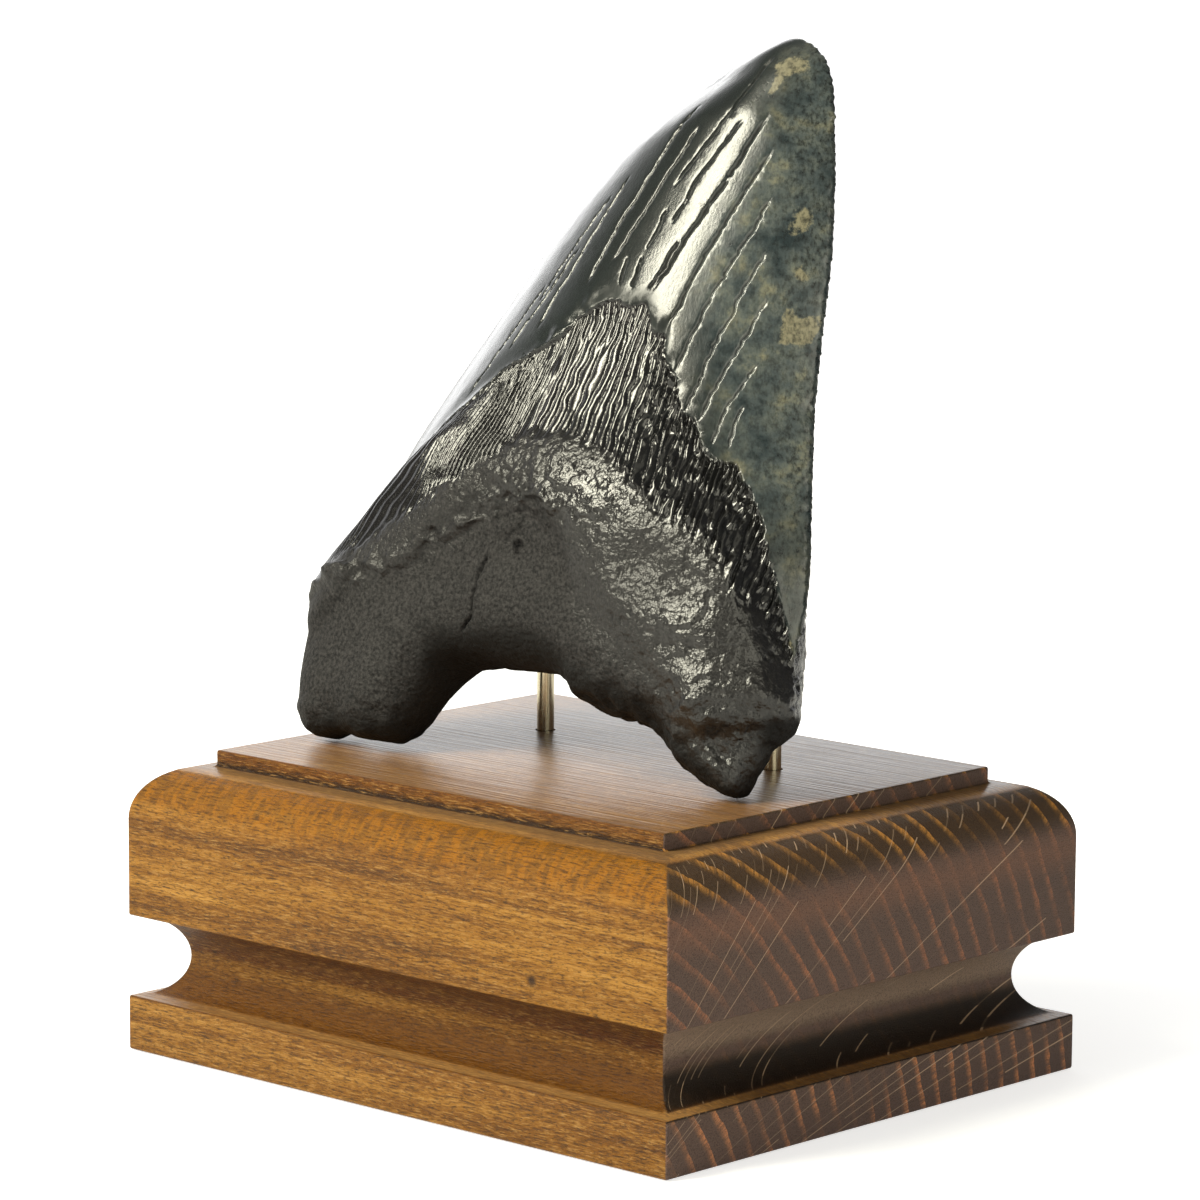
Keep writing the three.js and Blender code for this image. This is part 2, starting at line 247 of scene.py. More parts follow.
# %% Climb the profile
bpy.ops.object.select_all(action="DESELECT")
bpy.ops.mesh.primitive_cube_add(size=1, location=(0, 0, PLINTH / 2 * MM))
block = bpy.context.active_object
block.name = "wooden_block"
block.scale = (BLOCK[0] * MM, BLOCK[1] * MM, PLINTH * MM)
bpy.ops.object.transform_apply(location=True, scale=True)
edit_faces(block, [face.normal.z > 0.9 for face in block.data.polygons])
inset, height = 0, PLINTH
for next_inset, next_height in profile:
    bpy.ops.mesh.extrude_region_move(TRANSFORM_OT_translate={"value": (0, 0, (next_height - height) * MM)})
    narrower = [(side - 2 * next_inset) / (side - 2 * inset) for side in BLOCK]
    bpy.ops.transform.resize(value=(*narrower, 1), center_override=(0, 0, next_height * MM))
    inset, height = next_inset, next_height
bpy.ops.object.mode_set(mode="OBJECT")
print(block.name, len(block.data.polygons), "faces, top", max(v.co.z for v in block.data.vertices))

# %% [markdown]
# Real edges are never sharp: sandpaper leaves about half a millimetre of roundness, and that catches light.
# The bevel takes only the edges that turn by more than thirty degrees, so the steps of the curves stay as
# they are. Two holes are then drilled for the pins, a little wider than the pins are.

# %% Eased edges and pin holes
PIN_RADIUS, PIN_SUNK, PIN_RISE, HOLE_CLEARANCE = 1.5, 18, 39.9, 0.3
PIN_Y = 13
PIN_X = {"pin_left": -25.2, "pin_right": 27.4}
EASED_MM, EASED_STEPS, DRILL_SIDES = 0.45, 3, 48
shape_by(block, "BEVEL", width=EASED_MM * MM, segments=EASED_STEPS, limit_method="ANGLE",
         angle_limit=math.radians(30))
for x in PIN_X.values():
    bpy.ops.object.select_all(action="DESELECT")
    bpy.ops.mesh.primitive_cylinder_add(
        vertices=DRILL_SIDES, radius=(PIN_RADIUS + HOLE_CLEARANCE) * MM,
        depth=2 * (PIN_SUNK + HOLE_CLEARANCE) * MM, location=(x * MM, PIN_Y * MM, BLOCK_TOP * MM))
    drill = bpy.context.active_object
    shape_by(block, "BOOLEAN", object=drill, operation="DIFFERENCE", solver="EXACT")
    bpy.data.objects.remove(drill)
select_alone(block)
bpy.ops.object.shade_smooth_by_angle(angle=math.radians(25))

# %% [markdown]
# Stained hardwood, planed, sanded and waxed. A picture of wood could be wrapped round the block, but it would
# break at the corners. The figure of wood is solid, so it is drawn in three dimensions: growth rings lie round
# the heart of the log, which was below and in front of this block, and thin rays run outwards from that heart.
# The long sides show streaks and short dark pores along the grain. The two ends are cut across the grain,
# where the stain soaks in and turns the wood dark, and rings and rays show plainly.

# %% Wood: where a point lies in the log
# Waxed hardwood gives a satin sheen over dark pores, warm on the long sides and nearly black on the ends
wood, tree, shader = new_finish("stained_waxed_hardwood")
HEART_Y, HEART_Z = -88, -22
place = add(tree, "ShaderNodeTexCoord")
log = add(tree, "ShaderNodeMapping", {
    "Vector": place.outputs["Object"], "Location": (0, -HEART_Y, -HEART_Z), "Scale": (1000, 1000, 1000)})
axes = add(tree, "ShaderNodeSeparateXYZ", {"Vector": log})
along, across, upward = axes.outputs
angle = add(tree, "ShaderNodeMath", {0: upward, 1: across}, operation="ARCTAN2")
facing = add(tree, "ShaderNodeSeparateXYZ", {"Vector": place.outputs["Normal"]})
end_way = add(tree, "ShaderNodeMath", {0: facing.outputs["X"]}, operation="ABSOLUTE")
end_cut = add(tree, "ShaderNodeMapRange", {
    "Value": end_way, 1: 0.12, 2: 0.42}, interpolation_type="SMOOTHSTEP")
print("heart of the log at y", HEART_Y, "and z", HEART_Z, "mm")

# %% Wood: grain along the log, as share kept lengthwise, size across in millimetres, detail and roughness
# Real pores and fibres are too fine for the render, so they are drawn about a quarter of a millimetre wide
GRAIN = {"streaks": (0.03, 2.2, 4, 0.6), "stain": (0.3, 15, 3, 0.55), "fibres": (0.12, 0.28, 4, 0.7),
         "pores": (0.3, 0.27, 1, 0.5), "curl": (3.2, 4.0, 2, 0.5), "planing": (0.02, 0.9, 3, 0.6)}
figure = {}
for name, (share, size, detail, rough) in GRAIN.items():
    drawn_out = add(tree, "ShaderNodeVectorMath", {0: log, 1: (share, 1, 1)}, operation="MULTIPLY")
    figure[name] = add(tree, "ShaderNodeTexNoise", {
        "Vector": drawn_out, "Scale": 1 / size, "Detail": detail, "Roughness": rough})
print("grain", list(figure))

# %% Wood: rings round the heart and rays out of it
RING_MM, RAY_GAP_TURN, RAY_SHARE, RAY_HEIGHT_MM, RAY_LENGTH_MM = 4.1, 0.016, 0.05, 1.6, 34
WAVE_TURNS = 2 * math.pi / 20
trunk = add(tree, "ShaderNodeVectorMath", {0: log, 1: (0.04, 1, 1)}, operation="MULTIPLY")
rings = add(tree, "ShaderNodeTexWave", {
    "Vector": trunk, "Scale": WAVE_TURNS / RING_MM, "Distortion": 1.8, "Detail": 5, "Detail Scale": 1.4,
    "Detail Roughness": 0.62}, wave_type="RINGS", rings_direction="X", wave_profile="SAW")
ray_turn = add(tree, "ShaderNodeMath", {0: angle, 1: 1 / RAY_GAP_TURN}, operation="MULTIPLY")
ray_number = add(tree, "ShaderNodeMath", {0: ray_turn}, operation="FLOOR")
ray_middle = add(tree, "ShaderNodeMath", {0: ray_turn}, operation="FRACT")
ray_line = add(tree, "ShaderNodeMath", {0: ray_middle, 1: 0.5, 2: RAY_SHARE}, operation="COMPARE")
ray_out = add(tree, "ShaderNodeMath", {0: across, 1: 1 / RAY_LENGTH_MM}, operation="MULTIPLY")
ray_shift = add(tree, "ShaderNodeMath", {0: ray_number, 1: 0.37, 2: ray_out}, operation="MULTIPLY_ADD")
ray_part = add(tree, "ShaderNodeMath", {0: ray_shift}, operation="FLOOR")
ray_along = add(tree, "ShaderNodeMath", {0: along, 1: RAY_HEIGHT_MM}, operation="DIVIDE")
ray_layer = add(tree, "ShaderNodeMath", {0: ray_along}, operation="FLOOR")
ray_name = add(tree, "ShaderNodeCombineXYZ", {0: ray_number, 1: ray_part, 2: ray_layer})
ray_chance = add(tree, "ShaderNodeTexWhiteNoise", {"Vector": ray_name}, noise_dimensions="3D")
ray_some = add(tree, "ShaderNodeMapRange", {
    "Value": ray_chance.outputs["Value"], 1: 0.68, 2: 1.0, 3: 0, 4: 0.75})
ray_seen = add(tree, "ShaderNodeMath", {0: ray_line, 1: ray_some}, operation="MULTIPLY")
print("rings every", RING_MM, "mm, rays", RAY_LENGTH_MM, "mm long")

# %% Wood: which way the surface was cut, and how far up it lies
COVE_MIDDLE = PLINTH + COVE_RADIUS - HEART_Z
STEP_LEVEL = STEP_FOOT - HEART_Z
tilt = facing.outputs["Z"]
rising = add(tree, "ShaderNodeMapRange", {
    "Value": tilt, 1: 0.05, 2: 0.55}, interpolation_type="SMOOTHSTEP")
level = add(tree, "ShaderNodeMapRange", {
    "Value": tilt, 1: 0.93, 2: 0.995}, interpolation_type="SMOOTHSTEP")
golden = add(tree, "ShaderNodeMath", {0: rising, 1: level}, operation="SUBTRACT", use_clamp=True)
in_cove = add(tree, "ShaderNodeMath", {0: upward, 1: COVE_MIDDLE, 2: COVE_RADIUS}, operation="COMPARE")
# The cove's upper half hangs over: it gets painted shade on the long sides and a painted reflection of the
# floor on the ends
cove_upper = add(tree, "ShaderNodeMapRange", {
    "Value": upward, 1: COVE_MIDDLE - 0.3, 2: COVE_MIDDLE + 1.6, 3: 0, 4: 0.8})
under = add(tree, "ShaderNodeMath", {0: in_cove, 1: cove_upper}, operation="MULTIPLY")
on_riser = add(tree, "ShaderNodeMapRange", {"Value": upward, 1: STEP_LEVEL - 0.2, 2: STEP_LEVEL + 0.2})
# Below the cove's middle the long sides are painted darker: painted shade in the lower cove, which the lip
# above keeps from the light, and a weaker darker tone on the plinth
low_down = add(tree, "ShaderNodeMapRange", {
    "Value": upward, 1: COVE_MIDDLE + 1.6, 2: COVE_MIDDLE - 0.3, 3: 0, 4: 0.8})
low_gold = add(tree, "ShaderNodeMapRange", {"Value": golden, 3: 0.45, 4: 1.25})
low_shade_and_tone = add(tree, "ShaderNodeMath", {0: low_down, 1: low_gold}, operation="MULTIPLY", use_clamp=True)
print("cove's middle and raised top at", COVE_MIDDLE, STEP_LEVEL, "mm above the heart")

# %% Wood: colours of the long sides
tone_at = add(tree, "ShaderNodeMix", {0: 0.25, 2: figure["streaks"], 3: figure["stain"]}, data_type="FLOAT")
side_tone = add(tree, "ShaderNodeValToRGB", {"Fac": tone_at}, stops=[
    (0.36, "#6a4212"), (0.64, "#b58238"), (0.45, "#875819"), (0.54, "#9a6923")])
curl_share = add(tree, "ShaderNodeMapRange", {"Value": figure["curl"], 1: 0.42, 2: 0.62, 3: 0.65, 4: 1.0})
gold_share = add(tree, "ShaderNodeMath", {0: golden, 1: curl_share}, operation="MULTIPLY")
side_gold = add(tree, "ShaderNodeMix", {0: gold_share, 6: side_tone, 7: "#935c00"}, data_type="RGBA")
curl_dark = add(tree, "ShaderNodeMapRange", {"Value": figure["curl"], 1: 0.55, 2: 0.45, 3: 0, 4: 0.35})
curl_some = add(tree, "ShaderNodeMath", {0: golden, 1: curl_dark}, operation="MULTIPLY")
side_curl = add(tree, "ShaderNodeMix", {0: curl_some, 6: side_gold, 7: "#46300a"}, data_type="RGBA")
# The upper half of the cove is painted darker brown on the long sides: partly stain that pools there, partly
# painted shade under its overhang
side_under = add(tree, "ShaderNodeMix", {0: under, 6: side_curl, 7: "#582e16"}, data_type="RGBA")
# Painted shade in the lower cove, weaker as a darker tone on the plinth
side_low = add(tree, "ShaderNodeMix", {0: low_shade_and_tone, 6: side_under, 7: "#603800"}, data_type="RGBA")
above_step = add(tree, "ShaderNodeMapRange", {"Value": on_riser, 3: 0, 4: 0.7})
side_step = add(tree, "ShaderNodeMix", {0: above_step, 6: side_low, 7: "#5a2f08"}, data_type="RGBA")
print("long sides stained")

# %% Wood: dark foot of the raised top, fibres and pores
# The foot of the raised top is painted nearly black in a ragged line: partly a dark stain, partly painted shade
# in the inner corner where it meets the ledge
ragged_foot = add(tree, "ShaderNodeMath", {0: figure["fibres"], 1: 3.0, 2: upward}, operation="MULTIPLY_ADD")
riser_foot = add(tree, "ShaderNodeMapRange", {
    "Value": ragged_foot, 1: STEP_LEVEL + 3.0, 2: STEP_LEVEL + 1.9, 3: 0, 4: 0.9})
foot_share = add(tree, "ShaderNodeMath", {0: riser_foot, 1: on_riser}, operation="MULTIPLY")
side_riser = add(tree, "ShaderNodeMix", {0: foot_share, 6: side_step, 7: "#0d0603"}, data_type="RGBA")
fibre_dark = add(tree, "ShaderNodeMapRange", {"Value": figure["fibres"], 1: 0.50, 2: 0.36, 3: 0, 4: 0.75})
fibre_pale = add(tree, "ShaderNodeMapRange", {"Value": figure["fibres"], 1: 0.53, 2: 0.68, 3: 0, 4: 0.7})
pore_dark = add(tree, "ShaderNodeMapRange", {"Value": figure["pores"], 1: 0.58, 2: 0.68, 3: 0, 4: 0.5})
side_fibre = add(tree, "ShaderNodeMix", {0: fibre_dark, 6: side_riser, 7: "#321b09"}, data_type="RGBA")
pale_less = add(tree, "ShaderNodeMapRange", {"Value": golden, 3: 1.0, 4: 0.2})
pale_share = add(tree, "ShaderNodeMath", {0: fibre_pale, 1: pale_less}, operation="MULTIPLY")
side_pale = add(tree, "ShaderNodeMix", {0: pale_share, 6: side_fibre, 7: "#b58c50"}, data_type="RGBA")
side_pored = add(tree, "ShaderNodeMix", {0: pore_dark, 6: side_pale, 7: "#1f1108"}, data_type="RGBA")
print("fibres", GRAIN["fibres"][1], "mm wide")

# %% Wood: painted sheen on the top and a small knot in the front
KNOT_AT, KNOT_MM = (33.2, -51.5, 27.4), 0.9
# The top face is painted paler and greyer: a painted sheen, standing in for the grazing reflection of the
# bright room
top_painted_sheen = add(tree, "ShaderNodeMapRange", {"Value": level, 3: 0, 4: 0.2})
side_top = add(tree, "ShaderNodeMix", {0: top_painted_sheen, 6: side_pored, 7: "#b39676"}, data_type="RGBA")
to_knot = add(tree, "ShaderNodeVectorMath", {0: log, 1: (
    KNOT_AT[0], KNOT_AT[1] - HEART_Y, KNOT_AT[2] - HEART_Z)}, operation="SUBTRACT")
knot_gap = add(tree, "ShaderNodeVectorMath", {0: to_knot}, operation="LENGTH")
knot_dark = add(tree, "ShaderNodeMapRange", {
    "Value": knot_gap, 1: 1.5 * KNOT_MM, 2: 0.5 * KNOT_MM, 3: 0, 4: 0.85})
side_knot = add(tree, "ShaderNodeMix", {0: knot_dark, 6: side_top, 7: "#23130a"}, data_type="RGBA")
print("knot at", KNOT_AT)

# %% Wood: rings on the ends, broken into bristles by the rays
ring_warm = add(tree, "ShaderNodeMapRange", {
    "Value": rings, 1: 0.6, 2: 1.0}, interpolation_type="SMOOTHSTEP")
ring_some = add(tree, "ShaderNodeMapRange", {
    "Value": figure["stain"], 1: 0.38, 2: 0.58, 3: 0.12, 4: 1.0})
bristle_way = add(tree, "ShaderNodeCombineXYZ", {0: ray_turn, 1: ray_along, 2: ray_out})
bristle_at = add(tree, "ShaderNodeVectorMath", {0: bristle_way, 1: (3.2, 0.3, 3.0)}, operation="MULTIPLY")
bristles = add(tree, "ShaderNodeTexNoise", {
    "Vector": bristle_at, "Scale": 1, "Detail": 3, "Roughness": 0.6})
bristled = add(tree, "ShaderNodeMapRange", {"Value": bristles, 1: 0.35, 2: 0.62, 3: 0.25, 4: 1.0})
ring_part = add(tree, "ShaderNodeMath", {0: ring_warm, 1: ring_some}, operation="MULTIPLY")
out_of_cove = add(tree, "ShaderNodeMapRange", {"Value": in_cove, 3: 1.0, 4: 0.15})
ring_plain = add(tree, "ShaderNodeMath", {0: ring_part, 1: bristled}, operation="MULTIPLY")
ring_share = add(tree, "ShaderNodeMath", {0: ring_plain, 1: out_of_cove}, operation="MULTIPLY")
print("rings drawn on the ends")

# %% Wood: colours of the ends
BLUSH_Z, BLUSH_WIDE, BLUSH_CORE = 38.5, 4.5, 0.5
on_plinth = add(tree, "ShaderNodeMath", {0: upward, 1: PLINTH - HEART_Z}, operation="LESS_THAN")
ring_tone = add(tree, "ShaderNodeMix", {0: on_plinth, 6: "#b07454", 7: "#d99060"}, data_type="RGBA")
end_tone = add(tree, "ShaderNodeMix", {0: ring_share, 6: "#655149", 7: ring_tone}, data_type="RGBA")
end_gold = add(tree, "ShaderNodeMix", {0: ring_share, 6: "#4e3c2c", 7: "#d59545"}, data_type="RGBA")
from_blush = add(tree, "ShaderNodeMath", {0: upward, 1: BLUSH_Z - HEART_Z}, operation="SUBTRACT")
blush_gap = add(tree, "ShaderNodeMath", {0: from_blush}, operation="ABSOLUTE")
blush = add(tree, "ShaderNodeMapRange", {"Value": blush_gap, 1: BLUSH_WIDE, 2: BLUSH_CORE, 3: 0, 4: 0.5})
end_blush = add(tree, "ShaderNodeMix", {0: blush, 6: end_tone, 7: "#8d6450"}, data_type="RGBA")
end_tilt = add(tree, "ShaderNodeMix", {0: golden, 6: end_blush, 7: end_gold}, data_type="RGBA")
# The upper half of the cove on the ends is painted paler: a painted reflection of the bright floor below it
end_bounce = add(tree, "ShaderNodeMix", {0: under, 6: end_tilt, 7: "#96806f"}, data_type="RGBA")
# The lower half of the cove on the ends is painted nearly black: painted shade in the hollow
cove_floor = add(tree, "ShaderNodeMath", {0: golden, 1: low_down}, operation="MULTIPLY")
cove_dark = add(tree, "ShaderNodeMapRange", {"Value": cove_floor, 1: 0.15, 2: 0.7, 3: 0, 4: 0.9})
end_low = add(tree, "ShaderNodeMix", {0: cove_dark, 6: end_bounce, 7: "#17100b"}, data_type="RGBA")
end_speck = add(tree, "ShaderNodeMapRange", {"Value": figure["fibres"], 1: 0.52, 2: 0.36, 3: 0, 4: 0.6})
end_pored = add(tree, "ShaderNodeMix", {0: end_speck, 6: end_low, 7: "#241914"}, data_type="RGBA")
end_rayed = add(tree, "ShaderNodeMix", {0: ray_seen, 6: end_pored, 7: "#d2b394"}, data_type="RGBA")
wood_tone = add(tree, "ShaderNodeMix", {0: end_cut, 6: side_knot, 7: end_rayed}, data_type="RGBA")
print("ends stained, with a warm band at", BLUSH_Z, "mm")

# %% Wood: wax and relief
FURROW_DEEP = 0.0004
waxed = add(tree, "ShaderNodeMapRange", {"Value": figure["fibres"], 1: 0.3, 2: 0.7, 3: 0.33, 4: 0.48})
gloss = add(tree, "ShaderNodeMix", {0: level, 2: waxed, 3: 0.3}, data_type="FLOAT")
furrows = add(tree, "ShaderNodeMix", {
    0: level, 2: figure["fibres"], 3: figure["planing"]}, data_type="FLOAT")
relief = add(tree, "ShaderNodeBump", {"Height": furrows, "Strength": 0.7, "Distance": FURROW_DEEP})
tree.links.new(wood_tone.outputs[2], shader.inputs["Base Color"])
tree.links.new(gloss.outputs[0], shader.inputs["Roughness"])
tree.links.new(relief.outputs[0], shader.inputs["Normal"])
# Wax over open pores mirrors less than varnish does
shader.inputs["Specular IOR Level"].default_value = 0.24
block.data.materials.clear()
block.data.materials.append(wood)
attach(block, "root")
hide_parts("stand_block")
print(wood.name, "on", block.name)

# %% [markdown]
# Two straight pins of pale brass rod hold the tooth from behind. The rod was drawn through a die, which leaves
# fine scratches along it, and the ends were filed round. A pin is a cylinder with its end edges bevelled.
# One is modelled, and the other is a copy with its own mesh, moved along the block.

# %% Finish of the pins
# Drawn brass gives a bright streak along each pin, broken by scratches
# Real scratches are too fine for the render, so these are a sixth of a millimetre wide
SCRATCH_WIDE, SCRATCH_LONG = 1 / 6, 20 / 3
brass, tree, shader = new_finish("drawn_pale_brass")
place = add(tree, "ShaderNodeTexCoord")
drawn = add(tree, "ShaderNodeMapping", {
    "Vector": place.outputs["Object"],
    "Scale": [1 / (size * MM) for size in (SCRATCH_WIDE, SCRATCH_WIDE, SCRATCH_LONG)]})
scratch = add(tree, "ShaderNodeTexNoise", {"Vector": drawn, "Scale": 1, "Detail": 3})
tint = add(tree, "ShaderNodeMix", {0: scratch, 6: "#e6dabb", 7: "#fff6de"}, data_type="RGBA")
dulled = add(tree, "ShaderNodeMapRange", {"Value": scratch, 1: 0.3, 2: 0.7, 3: 0.16, 4: 0.32})
tree.links.new(tint.outputs[2], shader.inputs["Base Color"])
tree.links.new(dulled.outputs[0], shader.inputs["Roughness"])
shader.inputs["Metallic"].default_value = 1
print(brass.name)

# %% Brass pins
def mesh_copy(source, name):
    piece = bpy.data.objects.new(name, source.data.copy())
    scene.collection.objects.link(piece)
    return piece


PIN_SIDES, END_ROUND, END_STEPS = 64, 0.4, 3
bpy.ops.object.select_all(action="DESELECT")
bpy.ops.mesh.primitive_cylinder_add(
    vertices=PIN_SIDES, radius=PIN_RADIUS * MM, depth=(PIN_SUNK + PIN_RISE) * MM,
    location=(PIN_X["pin_left"] * MM, PIN_Y * MM, (BLOCK_TOP + (PIN_RISE - PIN_SUNK) / 2) * MM))
left_pin = bpy.context.active_object
left_pin.name = "brass_pin_left"
bpy.ops.object.transform_apply(location=True)
shape_by(left_pin, "BEVEL", width=END_ROUND * MM, segments=END_STEPS, limit_method="ANGLE",
         angle_limit=math.radians(60))
select_alone(left_pin)
bpy.ops.object.shade_smooth_by_angle(angle=math.radians(30))
left_pin.data.materials.append(brass)
right_pin = mesh_copy(left_pin, "brass_pin_right")
right_pin.data.transform(Matrix.Translation(((PIN_X["pin_right"] - PIN_X["pin_left"]) * MM, 0, 0)))
for pin, name in ((left_pin, "pin_left"), (right_pin, "pin_right")):
    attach(pin, "root")
    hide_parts(name)
    print(pin.name, "at x", PIN_X[name], "mm")

# %% [markdown]
# The tooth is a natural thing with one flowing surface. It could be sculpted from a ball, but then it would
# not lie in its place, so it starts from its own solid. The copy's corners are merged, its triangles become
# squares again, and a subdivision surface rounds the facets while creases keep the cutting edges. A voxel
# remesh then lays an even net of small squares over it, fine enough to carve, finer still on the side that is
# shown, and a shrinkwrap sets every point of that net back on the smooth surface.

# %% Smooth copy of the tooth
MERGE_MM, CREASE, ROUNDING_LEVELS = 0.001, 0.9, 2
smooth = mesh_copy(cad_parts["tooth"], "tooth_smooth")
smooth.data.materials.clear()
select_alone(smooth)
bpy.ops.object.mode_set(mode="EDIT")
bpy.ops.mesh.select_all(action="SELECT")
bpy.ops.mesh.remove_doubles(threshold=MERGE_MM * MM)
bpy.ops.mesh.tris_convert_to_quads(face_threshold=math.radians(70), shape_threshold=math.radians(70))
bpy.ops.mesh.select_all(action="DESELECT")
bpy.ops.mesh.select_mode(type="EDGE")
bpy.ops.mesh.edges_select_sharp(sharpness=math.radians(60))
bpy.ops.transform.edge_crease(value=CREASE)
bpy.ops.object.mode_set(mode="OBJECT")
shape_by(smooth, "SUBSURF", levels=ROUNDING_LEVELS, render_levels=ROUNDING_LEVELS)

# %% [markdown]
# The carving is done in the tooth's own directions, because it leans back and is turned a little:
# s runs across it to the right, t runs up it from the root to the tip, and n comes out of the side that
# is shown.

# %% The tooth's own directions
TOOTH_FOOT = np.array((-2.75, -15, 52.71))
LEAN, TURN = math.radians(22), math.radians(1.5)
backward = np.array((-math.sin(TURN), math.cos(TURN), 0))
skyward = np.array((0, 0, 1))
TO_RIGHT = np.array((math.cos(TURN), math.sin(TURN), 0))
TO_TIP = skyward * math.cos(LEAN) + backward * math.sin(LEAN)
TO_VIEWER = skyward * math.sin(LEAN) - backward * math.cos(LEAN)
TOOTH_AXES = np.stack((TO_RIGHT, TO_TIP, TO_VIEWER), axis=1)


def points_of(piece, what="vertices", value="co"):
    rows = getattr(piece.data, what)
    flat = np.empty(len(rows) * 3, np.float32)
    rows.foreach_get(value, flat)
    return flat.reshape(-1, 3).astype(float)


def in_tooth(points):
    return (points / MM - TOOTH_FOOT) @ TOOTH_AXES


# %% Net of small squares
NET_MM = 0.6
tooth = mesh_copy(smooth, "fossil_tooth")
shape_by(tooth, "REMESH", mode="VOXEL", voxel_size=NET_MM * MM, adaptivity=0)
spans = in_tooth(points_of(tooth))
print("tooth spans", spans.min(0).round(1), "to", spans.max(0).round(1))

# %% [markdown]
# Three skins meet on this tooth. The crown keeps its smooth enamel. Below it lies the band where the enamel
# is gone and fine cords stand side by side. The root under that is old bone: granular and polished on its
# upper swell, dull and smooth in the hollow below a ragged ledge. Each border is drawn with a few points.

# %% Borders across the tooth, as s and t in millimetres
BAND_FOOT = np.array([
    (-51, 22), (-42, 27), (-31, 33), (-19, 40), (-8, 48), (-2, 51.5), (4, 53), (11, 51.5), (18, 49),
    (22, 45), (28, 42), (37, 39.5), (41, 35.5), (45, 30.5), (48, 27.5), (52, 20)])
ENAMEL_FOOT = np.array([
    (-51, 34), (-46, 38), (-40, 43.5), (-29, 53), (-16, 63.5), (-3, 70.5), (-1, 74), (5, 78), (9, 77.2),
    (12, 78), (14.5, 74), (17, 73), (18.5, 69), (21, 66), (24, 60.5), (26.5, 59), (29, 55), (32, 54),
    (34.5, 54.5), (36, 52), (39, 48.5), (42, 42.5), (45.5, 35.5), (48.5, 28.5), (52, 20)])
BACK_FOOT = np.array([(-52, 30), (-35, 41), (-15, 49), (2, 51), (20, 48), (38, 39), (54, 24)])
LEDGE = np.array([
    (-52, 20), (-42, 24), (-29, 26.5), (-20, 31), (-11, 35), (-7, 40), (4, 42), (11, 39.5), (13, 33),
    (15, 28), (21, 23.5), (27, 19), (34, 15.5), (40, 6), (54, -4)])


def border(points, s):
    return np.interp(s, points[:, 0], points[:, 1])


print("enamel's lower edge has", len(ENAMEL_FOOT), "points, the ledge", len(LEDGE))

# %% [markdown]
# Long cracks run down the crown, side by side, from near the tip to the ragged edge of the enamel. They could
# be lines in the finish, but their walls catch the light, so they are cut. Each is a width and a few points.
# The net is made twice as fine on the root, and three times as fine where a crack or a cord will be carved.

# %% Cracks, and a finer net where they and the cords lie
CRACKS = [
    (0.30, [(20.5, 114), (18, 101.5), (12.5, 80.3)]),
    (0.25, [(23, 108), (20, 93), (17.2, 74.7)]),
    (0.24, [(16.8, 112.4), (12.9, 100.7), (11.5, 92.5)]),
    (0.26, [(13.8, 89.4), (11.8, 80.2)]),
    (0.22, [(16.1, 125.4), (14.1, 114.1), (9.1, 99.3)]),
    (0.20, [(8.9, 110.6), (5.8, 97.6), (2.5, 84.7)]),
    (0.20, [(5.6, 114.9), (2.6, 102.1), (-1.7, 80.3)]),
    (0.20, [(9.5, 94.8), (8.4, 87.2)]),
    (0.26, [(8.2, 85.7), (8.3, 80.2)]),
    (0.26, [(5.2, 85.4), (5.7, 80.5)]),
    (0.18, [(-3.2, 100.8), (-6.1, 87.2), (-9.8, 71.8)]),
    (0.18, [(-8.2, 86.8), (-12.5, 75.5), (-16, 68)]),
    (0.16, [(-14, 80), (-20, 66), (-24, 59)]),
    (0.16, [(-6, 97), (-11, 84), (-13.5, 77)]),
    (0.20, [(25.8, 100.6), (24.9, 93.5), (22.7, 83.9), (20.9, 67)]),
    (0.18, [(28.0, 90.4), (26.4, 81.4), (24.8, 65.7), (24.1, 60.5)]),
    (0.18, [(30.2, 82.5), (28.3, 70.1), (27.0, 59.5)]),
    (0.16, [(32.0, 71.2), (30.4, 63.1), (30.0, 56)]),
    (0.16, [(32.3, 63.6), (32.2, 56)]),
]


def ease(value, start, end):
    share = np.clip((value - start) / (end - start), 0, 1)
    return share * share * (3 - 2 * share)


def groove(here, path, width):
    deepest = np.zeros(len(here))
    length = sum(math.dist(a, b) for a, b in zip(path, path[1:]))
    done = 0
    for a, b in zip(np.array(path), np.array(path)[1:]):
        run = b - a
        share = np.clip((here - a) @ run / (run @ run), 0, 1)
        gap = np.linalg.norm(here - a - share[:, None] * run, axis=1)
        along_path = (done + share * np.linalg.norm(run)) / length
        taper = ease(along_path, 0, 0.08) * ease(1 - along_path, 0, 0.08)
        deepest = np.maximum(deepest, np.exp(-(gap / width) ** 2) * (0.25 + 0.75 * taper))
        done += np.linalg.norm(run)
    return deepest


def faces_where(zone):
    at = in_tooth(points_of(tooth, "polygons", "center"))
    shown = points_of(tooth, "polygons", "normal") @ TO_VIEWER > 0
    into_band = at[:, 1] - border(BAND_FOOT, at[:, 0])
    into_enamel = at[:, 1] - border(ENAMEL_FOOT, at[:, 0])
    if zone == "root":
        return shown & (into_band < -2)
    by_crack = np.max([groove(at[:, :2], path, 0.8) for width, path in CRACKS], axis=0) > 0.15
    return shown & ((into_band >= -2) & (into_enamel < 0.8) | by_crack)


for zone, cuts in {"root": 1, "cords and cracks": 2}.items():
    edit_faces(tooth, faces_where(zone))
    bpy.ops.mesh.subdivide(number_cuts=cuts)
    bpy.ops.object.mode_set(mode="OBJECT")
    print(zone, "cut finer,", len(tooth.data.polygons), "faces")
shape_by(tooth, "SHRINKWRAP", target=smooth, wrap_method="NEAREST_SURFACEPOINT")
bpy.data.objects.remove(smooth)

